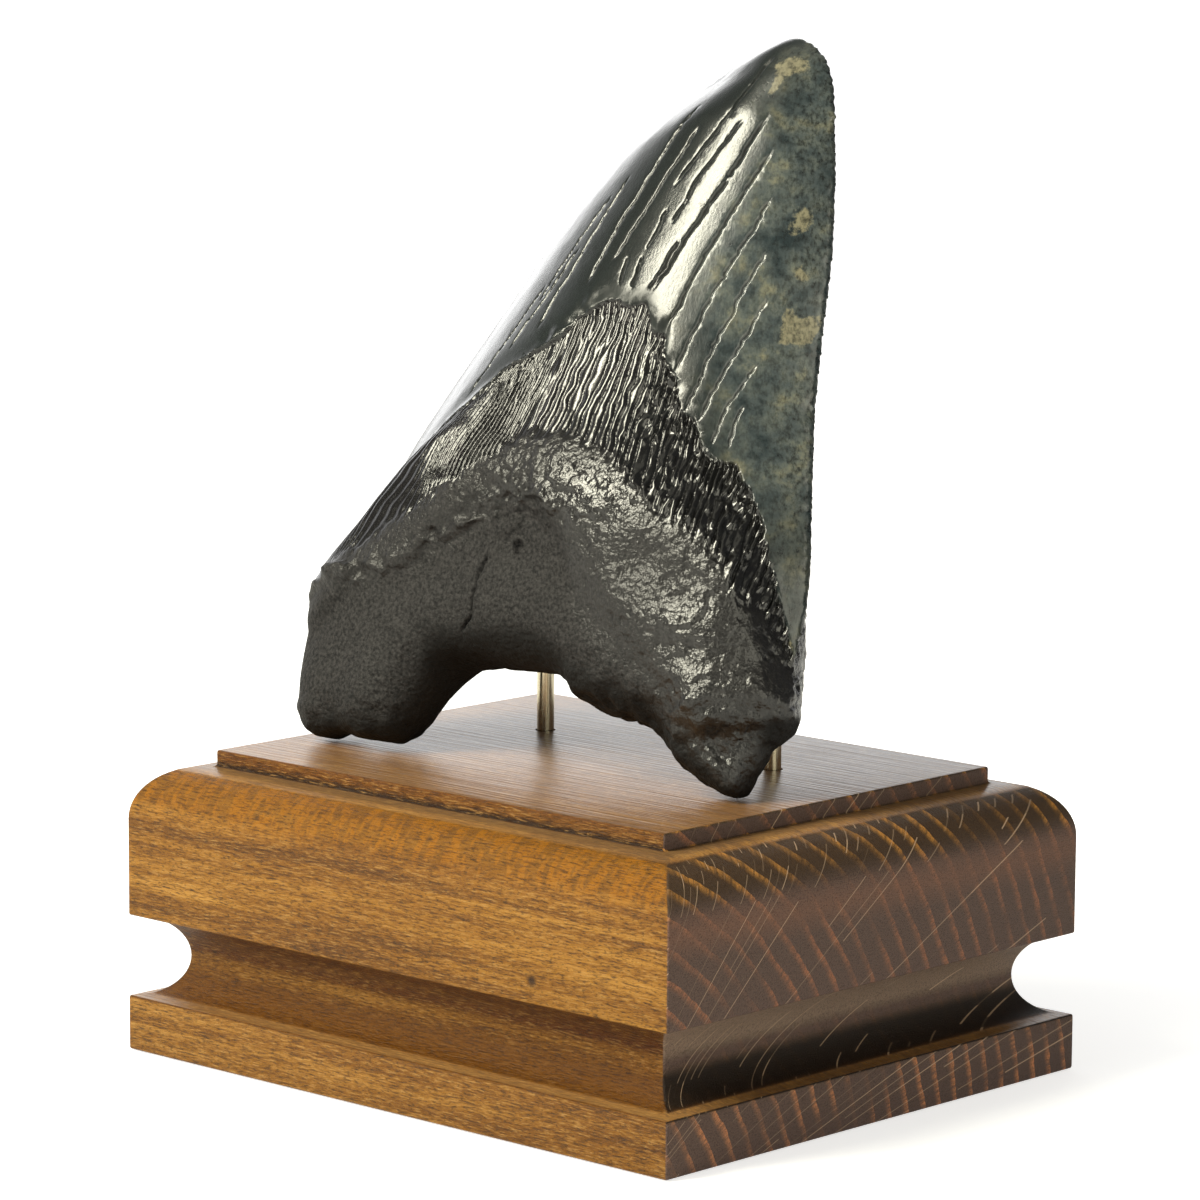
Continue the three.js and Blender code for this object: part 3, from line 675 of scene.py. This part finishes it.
# %% Smooth the right end of the ledge, which fades into the swell of the root
LEDGE_WIDE, SMOOTH_FACTOR, SMOOTH_ROUNDS = 9, 0.5, 80
net_s, net_t = in_tooth(points_of(tooth)).T[:2]
ledge_gap = net_t - border(LEDGE, net_s)
softened = np.exp(-(ledge_gap / LEDGE_WIDE) ** 2) * ease(net_s, 6, 10) * ease(net_s, 32, 26)
group = tooth.vertex_groups.new(name="softened")
for share in np.unique(softened.round(1))[1:]:
    group.add(np.flatnonzero(softened.round(1) == share).tolist(), float(share), "REPLACE")
shape_by(tooth, "SMOOTH", factor=SMOOTH_FACTOR, iterations=SMOOTH_ROUNDS, vertex_group=group.name)
tooth.vertex_groups.clear()

# %% [markdown]
# Nature repeats nothing exactly, so the carving needs a soft random field that is the same on every run.
# This one gives each corner of a lattice a scrambled value and blends between corners.

# %% Soft random field
def cloud(points, size, seed):
    spot = points / size + seed * 17.3
    cell = np.floor(spot).astype(np.int64)
    share = spot - cell
    share = share * share * (3 - 2 * share)
    total = np.zeros(len(points))
    for corner in np.ndindex(2, 2, 2):
        x, y, z = (cell + corner).T
        mixed = (x * 73856093) ^ (y * 19349663) ^ (z * 83492791) ^ (seed * 2654435761)
        mixed = ((mixed ^ (mixed >> 13)) * 1274126177) & 0x7FFFFFFF
        mixed = ((mixed ^ (mixed >> 15)) * 668265263) & 0x7FFFFFFF
        weight = np.prod(np.where(corner, share, 1 - share), axis=1)
        total += weight * (mixed / 0x3FFFFFFF - 1)
    return total


spots = in_tooth(points_of(tooth))
ways = points_of(tooth, "vertices", "normal") @ TOOTH_AXES
s, t, n = spots.T
front = ease(ways[:, 2], -0.15, 0.15)
print("carving", len(spots), "points")

# %% Which skin each point has
ragged = cloud(spots, 1.4, 1) * 0.5 + cloud(spots, 4, 2) * 0.6
foot_gap = t - border(ENAMEL_FOOT, s)
front_enamel = ease(foot_gap + ragged, -0.3, 0.3)
back_enamel = ease(t - border(BACK_FOOT, s) + 2 * ragged, -0.4, 0.4)
enamel = front * front_enamel + (1 - front) * back_enamel
front_band = ease(t - border(BAND_FOOT, s) + 2.2 * ragged, -1.6, 1.6)
ridged = front * front_band * (1 - enamel)
root = 1 - np.maximum(enamel, ridged)
print("enamel on", enamel.mean().round(2), "of the points, ridges on", ridged.mean().round(2))

# %% [markdown]
# Water and hands polish a fossil where it stands proud, and leave it dull where it is hollow, undercut or
# chafed. A finish could guess that from the curvature, but the photograph shows where it is so. Each point
# gets a number from 0 to 1 for how dull it is, made of a few soft zones.

# %% Where the polish is worn away
def round_spot(at, size, across=s, up=t):
    return np.exp(-((across - at[0]) / size[0]) ** 2 - ((up - at[1]) / size[1]) ** 2)


HANDLED = [((16, 44), (11, 6), 1), ((36, 25), (6, 4), 0.6)]
handled = np.max([shine * round_spot(at, size) for at, size, shine in HANDLED], axis=0)
above_ledge = t - border(LEDGE, s) + 1.6 * ragged + 1.4 * cloud(spots, 6, 18)
hollow = ease(-above_ledge / (1 + 1.8 * ease(s, 6, 12)), -4, 3)
right_lobe = ease(s, 30, 40) * ease(t, 25, 15)
left_shoulder = ease(s, 4, -9) * ease(s, -52, -44)
swell = (0.6 - 0.3 * ease(s, 30, 42)) * (1 - handled)
worn = np.max([swell, 0.3 * right_lobe, 0.75 * left_shoulder], axis=0) * root
chafed = 0.7 * np.exp(-((foot_gap - 0.9) / 1.8) ** 2) * ease(s, -4, 2) * ease(s, 24, 16) * enamel
dim_ridges = 0.35 * ease(s, 10, -6) * ridged
# Faces that look down are made dull here, and further on they are also painted dark as shade
looks_up = ways[:, 1] * math.cos(LEAN) + ways[:, 2] * math.sin(LEAN)
drooping = ease(looks_up, 0.05, -0.45) * root
dull = np.max([hollow * front, worn * front, chafed * front, dim_ridges, drooping], axis=0)
print("dull on", dull.mean().round(2), "of the points")

# %% [markdown]
# The cords of the bare band run up the tooth side by side, close in a little on the left and join up lower
# down. They could be a bump in the finish, but they are about half a millimetre high and show against the
# light, so they are carved. A cosine across the band makes the cords, and clouds bend and bead them.

# %% Cords of the band
CLOSING_T, MIDDLE_T = 131, 55
UPPER_CORD_MM, LOWER_CORD_MM, LEFT_CORD_MM = 1.25, 1.75, 0.95
fan_left = s * (CLOSING_T - MIDDLE_T) / (CLOSING_T - t) + 0.8 * ease(s, -22, -42) * (n - 8)
fan_right = s - 0.6 * ease(s, 0, 22) * (n - 15)
fan = np.where(s < 0, fan_left, fan_right)


def fan_cloud(wide, tall, seed):
    return cloud(np.stack((fan / wide, t / tall, 0 * fan), 1), 1, seed)


sway = 0.45 * fan_cloud(4.5, 9, 3) + 0.25 * fan_cloud(1.8, 2.4, 4)


def cords(pitch, sharp):
    return np.abs(np.cos(math.pi * (fan / pitch + sway))) ** sharp


low_share = ease(4 * fan_cloud(3, 6, 24) - foot_gap, 3, 9)
left_share = ease(s, 2, -10)
crest = cords(UPPER_CORD_MM, 0.6) * (1 - low_share) + cords(LOWER_CORD_MM, 0.5) * low_share
crest = crest * (1 - left_share) + cords(LEFT_CORD_MM, 1.2) * left_share
beads = 0.15 + 0.35 * np.exp(-(foot_gap / 5) ** 2) + 0.7 * ease(s, 14, 24)
knots = 0.85 + beads * fan_cloud(1.2, 1.3, 5) + 0.25 * fan_cloud(3, 5, 14)
bold = (0.5 + 0.5 * ease(s, -26, -8)) * (0.25 + 0.75 * ease(s, -48, -34))
ridge_lift = (0.65 + 0.3 * ease(s, 12, 22)) * bold * (crest * knots - 0.6)
print("cords rise", ridge_lift.max().round(2), "mm")

# %% Cracks of the crown
wander = 0.30 * cloud(spots, 3.0, 6) + 0.2 * cloud(spots, 0.9, 7)
dashes = 0.35 + 0.65 * ease(cloud(spots, 1.6, 8) + 0.8 * cloud(spots, 5, 9), -1.1, -0.5)
here = np.stack((s + wander, t), 1)
cut = np.max([groove(here, path, width) * (0.3 + 1.75 * width) for width, path in CRACKS], axis=0)
crack = cut * dashes * front * enamel
dull = np.maximum(dull, ease(crack, 0.3, 0.6))
print(len(CRACKS), "cracks")

# %% [markdown]
# The root is bone that was once full of small vessels: grainy and pitted on its swell, with one larger hole and
# one old crack in the hollow. Lumps line the arch, and a ledge with a raised lip runs over the hollow.
# They could be sculpted with a brush. Here each is a short formula, so a size can be changed by its number.

# %% Root: grain, pits, a vein hole and one old crack
VEIN_AT, VEIN_WIDE = (0.2, 33.5), 0.85
OLD_CRACK_WIDE, OLD_CRACK = 0.24, [(-6, 31.3), (-7.3, 27.3), (-7.9, 21.2), (-10.4, 18.4)]
rough_skin = 0.3 + 0.7 * ease(s, -14, -4)
fine_grain = 0.17 * cloud(spots, 0.85, 16) + 0.14 * cloud(spots, 1.5, 10)
grain = rough_skin * fine_grain + 0.22 * cloud(spots, 4.2, 11)
pits = ease(cloud(spots, 1.25, 12), 0.35, 0.75)
vein_gap = np.hypot(s - VEIN_AT[0], (t - VEIN_AT[1]) * 0.8) / VEIN_WIDE
vein = (np.exp(-vein_gap ** 4) - 0.5 * np.exp(-((vein_gap - 1.5) / 0.35) ** 2)) * front
old_crack = groove(here, OLD_CRACK, OLD_CRACK_WIDE) * front
root_lift = (1 - 0.7 * dull) * grain - (0.38 - 0.3 * dull) * rough_skin * pits
print("pits on", pits.mean().round(2), "of the points")

# %% Root: lip and shelf of the ledge, a knobbly brow over it, lumps along the arch and on the swell
LUMPS = [((17, 43.5), (8, 4.5), 1.1), ((35, 25.5), (7, 4), 1.2), ((27, 34), (5, 3.5), -0.8),
         ((51, 18), (3, 3.5), 1.2), ((41.5, 66), (1.2, 1.5), -0.8)]
lumps = sum(high * round_spot(at, size) for at, size, high in LUMPS)
lip = np.exp(-((above_ledge - 0.9) / 1.3) ** 2) * front * ease(s, 16, 6) * ease(s, -50, -43)
lip_lift = (0.55 + 0.6 * ease(s, 0, -12)) * lip * (0.4 + 1.3 * cloud(spots, 2.6, 17))
shelf = ease(above_ledge, -1.4, 0.2) * front * ease(s, 16, 6)
shelf_lift = (0.25 + 0.25 * ease(s, 6, -6)) * shelf
brow = (cloud(spots, 2.3, 21) + 0.6 * cloud(spots, 1.1, 22)) * round_spot((0, 41), (13, 5))
rim_cloud = 0.9 * cloud(spots, 5.5, 19) + 0.35 * cloud(spots, 1.9, 20)
rim_reach = np.maximum(ease(s, -22, -12), ease(t, 6, 3))
rim_lumps = rim_cloud * (1 + 0.6 * ease(t, 4, 7)) * ease(t, 20, 10) * rim_reach
root_lift += rim_lumps + shelf_lift + lip_lift - 0.65 * vein - 0.9 * old_crack + 0.9 * brow
print("root carved from", root_lift.min().round(2), "to", root_lift.max().round(2), "mm")

# %% Carve every point along its own direction
ENAMEL_THICK, CRACK_DEEP = 0.40, 0.5
lift = ENAMEL_THICK * enamel - CRACK_DEEP * crack + ridged * ridge_lift + root * root_lift
apex = ease(s, -12, -4) * ease(s, 26, 18)
foot_bumps = cloud(spots, 1.7, 23) * np.exp(-((foot_gap - 0.8) / 1.8) ** 2) * apex
lift += (0.05 * cloud(spots, 2.5, 13) + 0.5 * foot_bumps * front) * enamel + lumps * front
carved = ((spots + lift[:, None] * ways) @ TOOTH_AXES.T + TOOTH_FOOT) * MM
tooth.data.vertices.foreach_set("co", carved.astype(np.float32).ravel())
print("tooth carved from", lift.min().round(2), "to", lift.max().round(2), "mm")

# %% [markdown]
# Minerals stain the enamel: smoky black to the left, clear olive to the right, with tan patches near the right
# edge. The stains could be painted by hand. Here they are fields over the same points, like the carving, and
# each field is kept on the mesh as an attribute that the finish reads.

# %% Stains of the enamel
PATCHES = [((35.5, 78.2), (2.4, 4.6), 1), ((30.5, 98.6), (2.6, 4.5), 0.9), ((49, 24), (1.6, 3.5), 1),
           ((20, 122), (2.2, 5.5), 0.9), ((34, 87), (2, 1.4), 0.9)]
RIGHT_EDGE = np.array([(24, 51.5), (52, 43.5), (78, 38), (98.6, 33), (124, 23.5)])
SMOKE_EDGE = np.array([(50, 37), (66, 29), (76, 23), (84, 20), (93, 19.5), (108, 22), (130, 22)])
edge_gap = np.interp(t, *RIGHT_EDGE.T) - s
rim = np.exp(-(edge_gap / 5) ** 2) * front
near_edge = 0.15 * np.exp(-(edge_gap / 6) ** 2)
blot_s, blot_t = s + 2.2 * cloud(spots, 3.2, 25), t + 3.5 * cloud(spots, 3.2, 26)
blots = [strength * round_spot(at, size, blot_s, blot_t) for at, size, strength in PATCHES]
tan = np.max([near_edge] + blots, axis=0) * front
shown_smoke = np.maximum(ease(np.interp(t, *SMOKE_EDGE.T) - s, -4, 8), 0.6 * ease(t, 56, 40))
back_smoke = (0.5 + 0.7 * cloud(spots, 14, 27) + 0.3 * cloud(spots, 5, 28)).clip(0, 1)
smoky = front * shown_smoke + (1 - front) * back_smoke
print(len(PATCHES), "tan patches, smoke on", smoky.mean().round(2), "of the points")

# %% Keep the fields on the mesh, then thin the net where it is flat
MOST_TRIANGLES = 192000
# The faces that look down are painted nearly black along with the cracks: painted shade under the lobes, kept
# in the field called crack
cracks_and_shade = np.max([crack, old_crack, 0.85 * drooping], axis=0)
skins = {"enamel": enamel, "ridged": ridged, "dull": dull, "crack": cracks_and_shade,
         "tan": tan, "smoky": smoky, "rim": rim}
for name, field in skins.items():
    tooth.data.attributes.new(name, "FLOAT", "POINT").data.foreach_set("value", field.astype(np.float32))
tooth.data.update()
tooth.data.calc_loop_triangles()
shape_by(tooth, "DECIMATE", ratio=min(1, MOST_TRIANGLES / len(tooth.data.loop_triangles)))
select_alone(tooth)
bpy.ops.object.shade_smooth()
tooth.data.calc_loop_triangles()
print(tooth.name, len(tooth.data.loop_triangles), "triangles")

# %% [markdown]
# Fossil enamel and bone, stained by minerals in the sea bed and polished: black root, smoky olive crown with
# tan clouds towards the edge. The gloss is a clear one on the crown, broken up on the ridges, and nearly gone
# in the hollow of the root. One finish does it all, since the skins blend into each other: the fields on the
# mesh say which skin is where, and clouds a few millimetres wide mottle it.

# %% Tooth: fields on the mesh, and clouds as size in millimetres, detail and roughness
# Polished fossil gives near-black bone with wet highlights, and enamel that shines like dark glass
fossil, tree, shader = new_finish("polished_fossil_enamel_and_bone")
CLOUDS = {"mottle": (6, 8, 0.62), "speck": (1.1, 4, 0.6), "grit": (0.9, 2, 0.5), "sand": (0.6, 3, 0.6)}
LINE_MM, LINE_STRETCH, LINE_SLANT = 0.45, 90, 0.12
place = add(tree, "ShaderNodeTexCoord")
in_mm = add(tree, "ShaderNodeMapping", {"Vector": place.outputs["Object"], "Scale": (1000, 1000, 1000)})
is_enamel, is_ridged, is_dull, is_crack_or_shade, is_tan, is_smoky, is_rim = [
    add(tree, "ShaderNodeAttribute", attribute_name=name).outputs["Fac"] for name in skins]
mottle, speck, grit, sand = [
    add(tree, "ShaderNodeTexNoise", {"Vector": in_mm, "Scale": 1 / size, "Detail": detail, "Roughness": rough})
    for size, detail, rough in CLOUDS.values()]
grown = add(tree, "ShaderNodeMapping", {
    "Vector": place.outputs["Object"], "Rotation": (LEAN, LINE_SLANT, TURN),
    "Scale": (1000, 1000, LINE_STRETCH)})
lines = add(tree, "ShaderNodeTexNoise", {
    "Vector": grown, "Scale": 1 / LINE_MM, "Detail": 3, "Roughness": 0.6})
print(fossil.name, "reads", list(skins))

# %% Tooth: colours of the enamel
olive = add(tree, "ShaderNodeValToRGB", {"Fac": mottle}, stops=[
    (0.34, "#263033"), (0.68, "#7b7964"), (0.45, "#434b4c"), (0.55, "#575d59")])
clear = add(tree, "ShaderNodeMix", {0: is_smoky, 6: olive, 7: "#1e2322"}, data_type="RGBA")
tan_break = add(tree, "ShaderNodeMix", {0: 0.5, 2: mottle, 3: speck}, data_type="FLOAT")
tan_share = add(tree, "ShaderNodeMath", {0: is_tan, 1: tan_break}, operation="MULTIPLY")
tan_edge = add(tree, "ShaderNodeMapRange", {
    "Value": tan_share, 1: 0.27, 2: 0.36}, interpolation_type="SMOOTHSTEP")
tanned = add(tree, "ShaderNodeMix", {0: tan_edge, 6: clear, 7: "#827d66"}, data_type="RGBA")
speck_line = add(tree, "ShaderNodeMix", {0: 0.4, 2: speck, 3: lines}, data_type="FLOAT")
speck_dark = add(tree, "ShaderNodeMapRange", {"Value": speck_line, 1: 0.38, 2: 0.56, 3: 1, 4: 0})
speck_part = add(tree, "ShaderNodeMapRange", {"Value": is_rim, 3: 0.5, 4: 0.85})
enamel_speck = add(tree, "ShaderNodeMath", {0: speck_dark, 1: speck_part}, operation="MULTIPLY")
enamel_mix = add(tree, "ShaderNodeMix", {0: enamel_speck, 6: tanned, 7: "#161917"}, data_type="RGBA")
print("enamel coloured")

# %% Tooth: colours of the bone, and of all three skins together
root_tone = add(tree, "ShaderNodeMix", {0: speck, 6: "#0e0d0c", 7: "#191715"}, data_type="RGBA")
sanded = add(tree, "ShaderNodeMapRange", {"Value": sand, 1: 0.35, 2: 0.65})
matt_tone = add(tree, "ShaderNodeMix", {0: sanded, 6: "#070708", 7: "#353333"}, data_type="RGBA")
dull_tone = add(tree, "ShaderNodeMix", {0: is_dull, 6: root_tone, 7: matt_tone}, data_type="RGBA")
band_tone = add(tree, "ShaderNodeMix", {0: is_ridged, 6: dull_tone, 7: "#100f0e"}, data_type="RGBA")
skin_tone = add(tree, "ShaderNodeMix", {0: is_enamel, 6: band_tone, 7: enamel_mix}, data_type="RGBA")
# Cracks, and the painted shade on faces that look down, are nearly black
crack_and_shade_tone = add(tree, "ShaderNodeMix", {0: is_crack_or_shade, 6: skin_tone, 7: "#050505"}, data_type="RGBA")
print("bone coloured")

# %% Tooth: gloss, a clear coat where it is polished, and fine relief
GRIT_DEEP = 0.0005
root_rough = add(tree, "ShaderNodeMapRange", {"Value": is_dull, 3: 0.24, 4: 0.7})
band_rough = add(tree, "ShaderNodeMix", {0: is_ridged, 2: root_rough, 3: 0.2}, data_type="FLOAT")
enamel_rough = add(tree, "ShaderNodeMapRange", {"Value": is_dull, 3: 0.19, 4: 0.7})
skin_rough = add(tree, "ShaderNodeMix", {0: is_enamel, 2: band_rough, 3: enamel_rough}, data_type="FLOAT")
most_polish = add(tree, "ShaderNodeMapRange", {"Value": is_enamel, 3: 1.0, 4: 0.7})
unworn = add(tree, "ShaderNodeMapRange", {"Value": is_dull, 3: 1.0, 4: 0.0})
polish = add(tree, "ShaderNodeMath", {0: unworn, 1: most_polish}, operation="MULTIPLY")
bone_bump = add(tree, "ShaderNodeMapRange", {"Value": is_dull, 3: 0.5, 4: 0.8})
band_bump = add(tree, "ShaderNodeMix", {0: is_ridged, 2: bone_bump, 3: 0.08}, data_type="FLOAT")
grit_bump = add(tree, "ShaderNodeMix", {0: is_enamel, 2: band_bump, 3: 0.08}, data_type="FLOAT")
bone_height = add(tree, "ShaderNodeMath", {0: sand, 1: 0.3, 2: grit}, operation="MULTIPLY_ADD")
height = add(tree, "ShaderNodeMix", {0: is_enamel, 2: bone_height, 3: lines}, data_type="FLOAT")
relief = add(tree, "ShaderNodeBump", {"Height": height, "Strength": grit_bump, "Distance": GRIT_DEEP})
tree.links.new(crack_and_shade_tone.outputs[2], shader.inputs["Base Color"])
tree.links.new(skin_rough.outputs[0], shader.inputs["Roughness"])
tree.links.new(relief.outputs[0], shader.inputs["Normal"])
tree.links.new(polish.outputs[0], shader.inputs["Coat Weight"])
tree.links.new(relief.outputs[0], shader.inputs["Coat Normal"])
# The coat has the IOR of fossil enamel and carries the shine, and the body under it has less
shader.inputs["IOR"].default_value = 1.36
shader.inputs["Coat IOR"].default_value = 1.6
shader.inputs["Coat Roughness"].default_value = 0.24
tooth.data.materials.clear()
tooth.data.materials.append(fossil)
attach(tooth, "root")
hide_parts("tooth")
print(fossil.name, "on", tooth.name)
